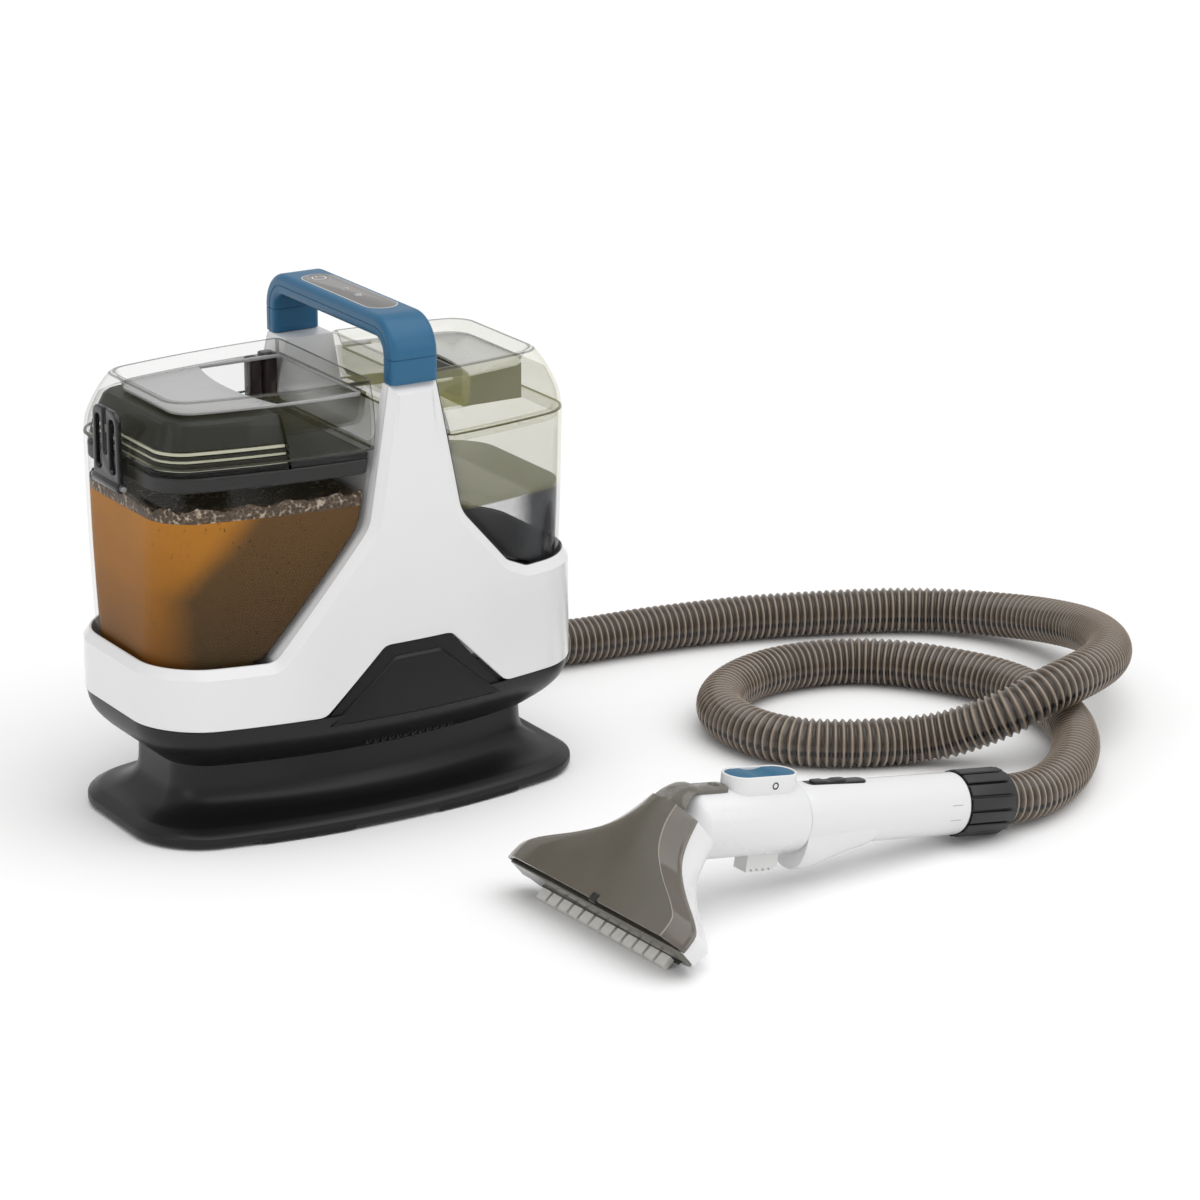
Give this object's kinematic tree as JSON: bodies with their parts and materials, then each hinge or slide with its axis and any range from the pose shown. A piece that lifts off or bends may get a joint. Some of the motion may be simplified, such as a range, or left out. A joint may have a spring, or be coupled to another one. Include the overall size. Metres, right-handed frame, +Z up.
{
  "type": "carpet cleaner machine",
  "caption": "Portable carpet spot cleaner: clear dirty and clean water tanks on a black foot, a blue carry handle, and a ribbed suction hose with a wide hand nozzle.",
  "frame": {"origin": "on the floor, under the middle of the foot, on the underside of the middle rubber pad", "axes": "+X along the long side towards the clean water tank, +Y from the front to the back, +Z up"},
  "size_m": [0.8139, 0.6146, 0.3641],
  "materials": {
    "black_abs": "satin",
    "dark_abs": "satin",
    "steel": "brushed",
    "plate_steel": "brushed",
    "rubber": "matt",
    "white_abs": "gloss",
    "tower_white": "gloss",
    "blue_abs": "satin",
    "panel_grey": "gloss",
    "board_green": "matt",
    "lens_white": "gloss",
    "motor_metal": "satin",
    "smoke_clear": "gloss",
    "dirty_water": "gloss",
    "clean_water": "gloss",
    "seal_black": "matt",
    "hose_brown": "satin",
    "tube_dark": "satin",
    "cover_smoke": "gloss",
    "bristle": "matt",
    "trigger_grey": "satin",
    "float_cream": "matt"
  },
  "bodies": {
    "machine": {"foot": "black_abs", "base_plate": "plate_steel", "rubber_feet": "rubber", "base_screws": "steel", "lower_housing": "black_abs", "deck": "dark_abs", "deck_screws": "steel", "upper_shell": "white_abs", "centre_tower": "tower_white", "handle_sockets": "blue_abs", "handle_grip": "blue_abs", "handle_cover": "blue_abs", "control_panel": "panel_grey", "control_board": "board_green", "power_switch": "dark_abs", "indicator_lens": "lens_white", "fan_case": "dark_abs", "vacuum_motor": "motor_metal", "motor_ring": "rubber", "pump": "dark_abs", "dock_valve": "dark_abs", "hose_port": "black_abs", "hose_elbow": "black_abs", "cord_gland": "rubber", "hose": "hose_brown", "solution_tube": "tube_dark", "nozzle_body": "white_abs", "brush_strip": "bristle", "spray_nozzle": "black_abs", "button_pod": "white_abs", "pod_pin": "steel", "trigger_pin": "steel", "wand_shell": "white_abs", "belly_cover": "white_abs", "cuff_latch": "white_abs", "cuff": "black_abs"},
    "power_button": {"power_button": "panel_grey"},
    "impeller": {"impeller": "motor_metal"},
    "dirty_tank": {"dirty_tank": "smoke_clear", "dirty_water": "dirty_water", "latch_pin": "steel"},
    "dirty_lid": {"dirty_lid": "smoke_clear", "separator": "dark_abs", "lid_gasket": "seal_black", "float_cage": "dark_abs"},
    "float_valve": {"float_valve": "float_cream"},
    "dirty_latch": {"dirty_latch": "black_abs"},
    "clean_tank": {"clean_tank": "smoke_clear", "clean_water": "clean_water", "clean_valve": "dark_abs"},
    "valve_plunger": {"valve_plunger": "steel"},
    "clean_lid": {"clean_lid": "smoke_clear", "clean_gasket": "seal_black", "strainer": "dark_abs"},
    "nozzle_cover": {"nozzle_cover": "cover_smoke", "cover_clip": "cover_smoke"},
    "release_button": {"release_button": "blue_abs"},
    "trigger": {"trigger": "trigger_grey"},
    "thumb_slider": {"thumb_slider": "black_abs"}
  },
  "joints": [
    {"name": "power_button_press", "type": "slide", "parent": "machine", "child": "power_button", "axis": [0, 0, -1], "range_m": [0, 0.001], "stiffness_N_per_m": 500},
    {"name": "impeller_spin", "type": "hinge", "parent": "machine", "child": "impeller", "pos_m": [0.008, 0, 0.065], "axis": [0, 0, 1], "continuous": true},
    {"name": "dirty_tank_lift", "type": "slide", "parent": "machine", "child": "dirty_tank", "axis": [0, 0, 1], "range_m": [0, 0.15]},
    {"name": "dirty_lid_lift", "type": "slide", "parent": "dirty_tank", "child": "dirty_lid", "axis": [0, 0, 1], "range_m": [0, 0.08]},
    {"name": "float_rise", "type": "slide", "parent": "dirty_lid", "child": "float_valve", "axis": [0, 0, 1], "range_m": [0, 0.012]},
    {"name": "dirty_latch_turn", "type": "hinge", "parent": "dirty_tank", "child": "dirty_latch", "pos_m": [-0.1695, 0, 0.2527], "axis": [0, -1, 0], "range_deg": [0, 70]},
    {"name": "clean_tank_lift", "type": "slide", "parent": "machine", "child": "clean_tank", "axis": [0, 0, 1], "range_m": [0, 0.15]},
    {"name": "valve_plunger_rise", "type": "slide", "parent": "clean_tank", "child": "valve_plunger", "axis": [0, 0, 1], "range_m": [0, 0.004]},
    {"name": "clean_lid_lift", "type": "slide", "parent": "clean_tank", "child": "clean_lid", "axis": [0, 0, 1], "range_m": [0, 0.08]},
    {"name": "nozzle_cover_off", "type": "slide", "parent": "machine", "child": "nozzle_cover", "axis": [-0.6366, -0.0334, 0.7705], "range_m": [0, 0.06]},
    {"name": "release_button_press", "type": "slide", "parent": "machine", "child": "release_button", "axis": [-0.1442, -0.0076, -0.9895], "range_m": [0, 0.0012], "stiffness_N_per_m": 500},
    {"name": "trigger_squeeze", "type": "hinge", "parent": "machine", "child": "trigger", "pos_m": [0.15687, -0.34688, 0.03799], "axis": [-0.0523, 0.9986, 0], "range_deg": [0, 9], "stiffness_Nm_per_rad": 0.6},
    {"name": "thumb_slider_slide", "type": "slide", "parent": "machine", "child": "thumb_slider", "axis": [0.9882, 0.0518, -0.1444], "range_m": [0, 0.015]}
  ]
}
